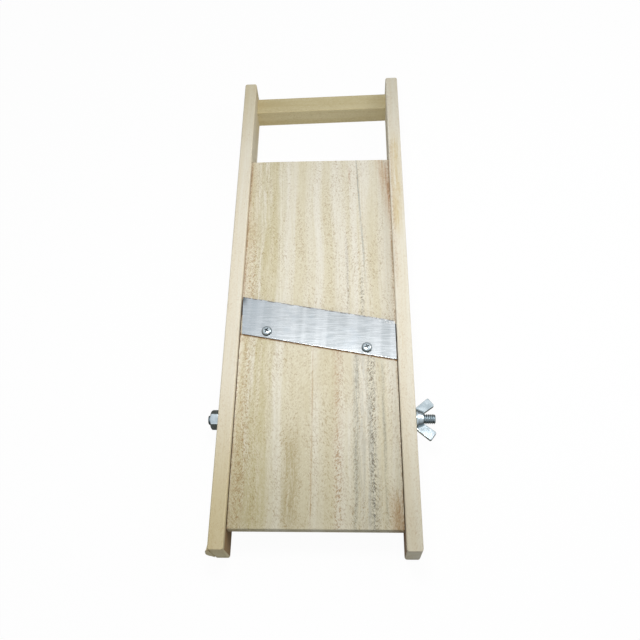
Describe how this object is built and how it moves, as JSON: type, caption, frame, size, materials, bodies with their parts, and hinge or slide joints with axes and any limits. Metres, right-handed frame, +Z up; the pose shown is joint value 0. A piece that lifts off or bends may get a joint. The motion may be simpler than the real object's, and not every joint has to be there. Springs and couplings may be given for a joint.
{
  "type": "plantain grater",
  "caption": "Wooden slicer with a fixed feed board, a slanted steel blade on a tilting board between rails, and a threaded rod with a wing nut that clamps it.",
  "frame": {"origin": "under the middle of the whole object, in the plane that the rails rest on", "axes": "+X towards the wing nut, +Y towards the handle bar, +Z up from the resting face to the boards"},
  "size_m": [0.1448, 0.3734, 0.0275],
  "materials": {
    "rail_wood": "raw sanded pale hardwood, unvarnished",
    "bar_wood": "raw sanded pale hardwood, slightly yellower",
    "board_wood": "raw sanded pale hardwood with open pores and grey streaks",
    "blade_steel": "bright galvanised sheet with fine scratches",
    "zinc": "bright zinc plating"
  },
  "bodies": {
    "frame": {"left_rail": "rail_wood", "right_rail": "rail_wood", "handle_bar": "bar_wood", "feed_board": "board_wood", "clamp_rod": "zinc", "hex_nut": "zinc", "bar_nails": "zinc", "feed_board_nails": "zinc"},
    "tilting_board": {"exit_board": "board_wood", "blade": "blade_steel", "blade_screws": "zinc"},
    "wing_nut": {"wing_nut": "zinc"}
  },
  "joints": [
    {"name": "exit_board_tilt", "type": "hinge", "parent": "frame", "child": "tilting_board", "pos_m": [-0.0026, -0.10455, 0.0186], "axis": [1, 0, 0], "range_deg": [-1.2, 4]},
    {"name": "wing_nut_turn", "type": "hinge", "parent": "frame", "child": "wing_nut", "pos_m": [0.0599, -0.10455, 0.0186], "axis": [1, 0, 0], "range_deg": [0, 360]}
  ]
}
